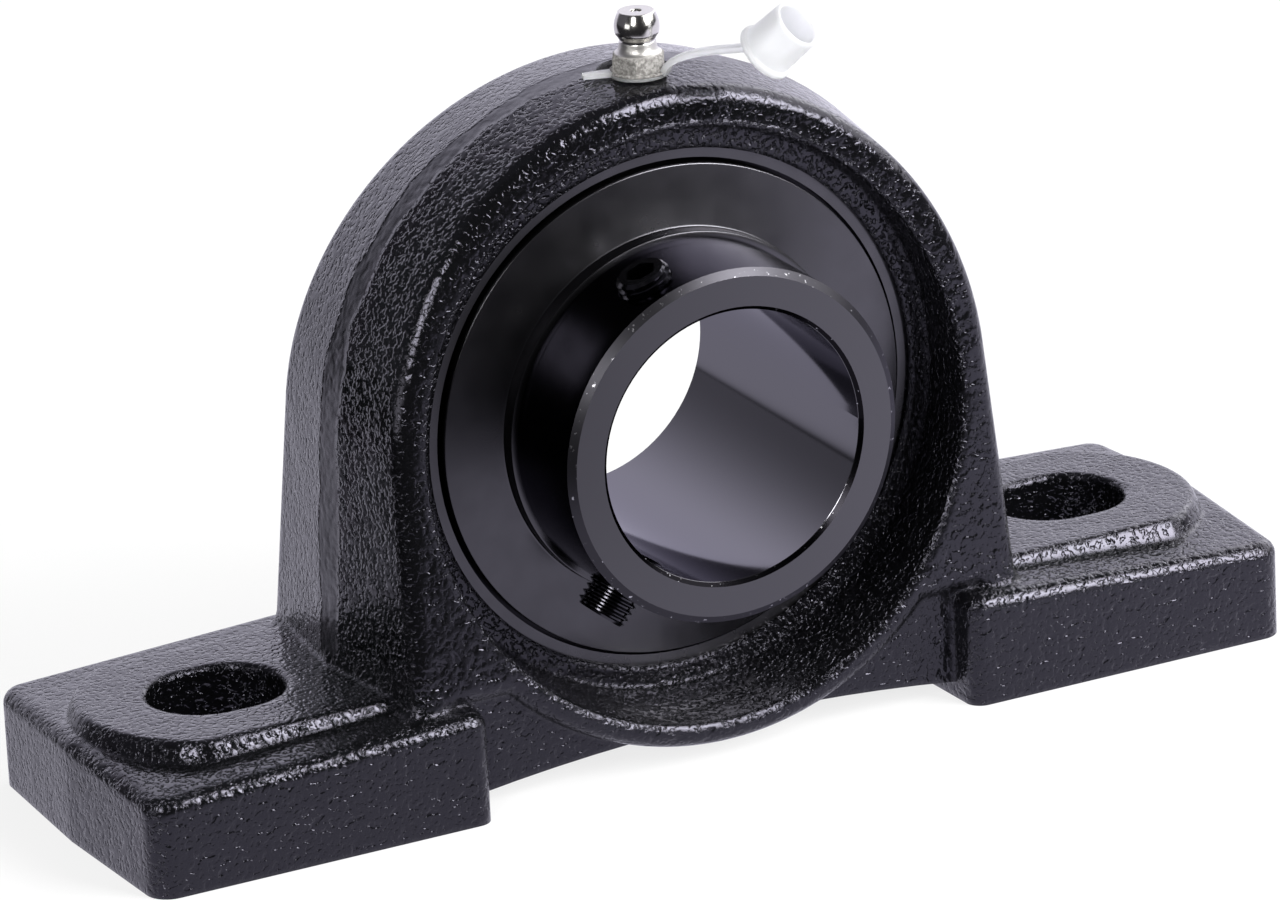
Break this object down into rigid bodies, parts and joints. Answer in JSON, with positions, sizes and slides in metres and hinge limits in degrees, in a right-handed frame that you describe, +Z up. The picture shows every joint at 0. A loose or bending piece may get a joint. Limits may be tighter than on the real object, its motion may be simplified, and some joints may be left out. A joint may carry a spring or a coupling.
{
  "type": "pillow block bearing",
  "caption": "Pillow block bearing with cast housing on slotted feet, self-aligning ball insert, set screws, and grease nipple with strapped dust cap.",
  "frame": {"origin": "in the base plane, under the middle of the spherical seat", "axes": "+Z up from the base plane; +Y along the shaft, away from the set screws; +X along the feet"},
  "size_m": [0.184, 0.0572, 0.1101],
  "materials": {
    "cast_iron_paint": "gloss black paint over cast skin",
    "ground_steel": "ground bearing steel",
    "ball_steel": "polished",
    "sheet_steel": "pressed sheet",
    "seal_rubber": "matt",
    "screw_steel": "black oxide",
    "plated_steel": "zinc plated",
    "polyethylene": "translucent"
  },
  "bodies": {
    "block": {"housing": "cast_iron_paint", "nipple_body": "plated_steel", "nipple_spring": "plated_steel", "cap_ring": "polyethylene"},
    "insert": {"outer_ring": "ground_steel", "seal_plate_front": "sheet_steel", "seal_plate_back": "sheet_steel", "seal_lip_front": "seal_rubber", "seal_lip_back": "seal_rubber"},
    "shaft_ring": {"inner_ring": "ground_steel", "flinger_front": "sheet_steel", "flinger_back": "sheet_steel"},
    "cage": {"cage_front": "sheet_steel", "cage_back": "sheet_steel", "cage_rivets": "sheet_steel"},
    "screw_top": {"set_screw_top": "screw_steel"},
    "screw_side": {"set_screw_side": "screw_steel"},
    "check_ball": {"nipple_ball": "plated_steel"},
    "strap": {"cap_strap": "polyethylene"},
    "cap": {"dust_cap": "polyethylene"},
    "ball_1": {"ball_1": "ball_steel"},
    "ball_2": {"ball_2": "ball_steel"},
    "ball_3": {"ball_3": "ball_steel"},
    "ball_4": {"ball_4": "ball_steel"},
    "ball_5": {"ball_5": "ball_steel"},
    "ball_6": {"ball_6": "ball_steel"},
    "ball_7": {"ball_7": "ball_steel"},
    "ball_8": {"ball_8": "ball_steel"},
    "ball_9": {"ball_9": "ball_steel"}
  },
  "joints": [
    {"name": "insert_swivel", "type": "hinge", "parent": "block", "child": "insert", "pos_m": [0, 0, 0.0492], "axis": [1, 0, 0], "range_deg": [-2.5, 2.5]},
    {"name": "shaft_spin", "type": "hinge", "parent": "insert", "child": "shaft_ring", "pos_m": [0, 0, 0.0492], "axis": [0, 1, 0], "continuous": true},
    {"name": "cage_spin", "type": "hinge", "parent": "insert", "child": "cage", "pos_m": [0, 0, 0.0492], "axis": [0, 1, 0], "continuous": true},
    {"name": "ball_1_roll", "type": "hinge", "parent": "cage", "child": "ball_1", "pos_m": [0, 0, 0.0792], "axis": [0, 1, 0], "continuous": true},
    {"name": "ball_2_roll", "type": "hinge", "parent": "cage", "child": "ball_2", "pos_m": [-0.01928, 0, 0.07218], "axis": [0, 1, 0], "continuous": true},
    {"name": "ball_3_roll", "type": "hinge", "parent": "cage", "child": "ball_3", "pos_m": [-0.02954, 0, 0.05441], "axis": [0, 1, 0], "continuous": true},
    {"name": "ball_4_roll", "type": "hinge", "parent": "cage", "child": "ball_4", "pos_m": [-0.02598, 0, 0.0342], "axis": [0, 1, 0], "continuous": true},
    {"name": "ball_5_roll", "type": "hinge", "parent": "cage", "child": "ball_5", "pos_m": [-0.01026, 0, 0.02101], "axis": [0, 1, 0], "continuous": true},
    {"name": "ball_6_roll", "type": "hinge", "parent": "cage", "child": "ball_6", "pos_m": [0.01026, 0, 0.02101], "axis": [0, 1, 0], "continuous": true},
    {"name": "ball_7_roll", "type": "hinge", "parent": "cage", "child": "ball_7", "pos_m": [0.02598, 0, 0.0342], "axis": [0, 1, 0], "continuous": true},
    {"name": "ball_8_roll", "type": "hinge", "parent": "cage", "child": "ball_8", "pos_m": [0.02954, 0, 0.05441], "axis": [0, 1, 0], "continuous": true},
    {"name": "ball_9_roll", "type": "hinge", "parent": "cage", "child": "ball_9", "pos_m": [0.01928, 0, 0.07218], "axis": [0, 1, 0], "continuous": true},
    {"name": "set_screw_top_travel", "type": "slide", "parent": "shaft_ring", "child": "screw_top", "axis": [-0.3584, 0, 0.9336], "range_m": [-0.0004, 0.0025]},
    {"name": "set_screw_side_travel", "type": "slide", "parent": "shaft_ring", "child": "screw_side", "axis": [-0.6293, 0, -0.7771], "range_m": [-0.0026, 0.0006]},
    {"name": "check_ball_press", "type": "slide", "parent": "block", "child": "check_ball", "axis": [0, 0, -1], "range_m": [0, 0.0008], "stiffness_N_per_m": 120, "deforming": ["nipple_spring"]},
    {"name": "strap_swing", "type": "hinge", "parent": "block", "child": "strap", "pos_m": [0.00332, -0.00976, 0.0997], "axis": [-0.788, -0.6157, 0], "range_deg": [0, 70], "stiffness_Nm_per_rad": 0.001},
    {"name": "cap_flip", "type": "hinge", "parent": "strap", "child": "cap", "pos_m": [0.0108, -0.01933, 0.1032], "axis": [-0.788, -0.6157, 0], "range_deg": [-60, 45], "stiffness_Nm_per_rad": 0.001}
  ],
  "couplings": [
    {"joint": "cage_spin", "follows": "shaft_spin", "ratio": 0.4},
    {"joint": "ball_1_roll", "follows": "shaft_spin", "ratio": -2.4},
    {"joint": "ball_2_roll", "follows": "shaft_spin", "ratio": -2.4},
    {"joint": "ball_3_roll", "follows": "shaft_spin", "ratio": -2.4},
    {"joint": "ball_4_roll", "follows": "shaft_spin", "ratio": -2.4},
    {"joint": "ball_5_roll", "follows": "shaft_spin", "ratio": -2.4},
    {"joint": "ball_6_roll", "follows": "shaft_spin", "ratio": -2.4},
    {"joint": "ball_7_roll", "follows": "shaft_spin", "ratio": -2.4},
    {"joint": "ball_8_roll", "follows": "shaft_spin", "ratio": -2.4},
    {"joint": "ball_9_roll", "follows": "shaft_spin", "ratio": -2.4}
  ]
}
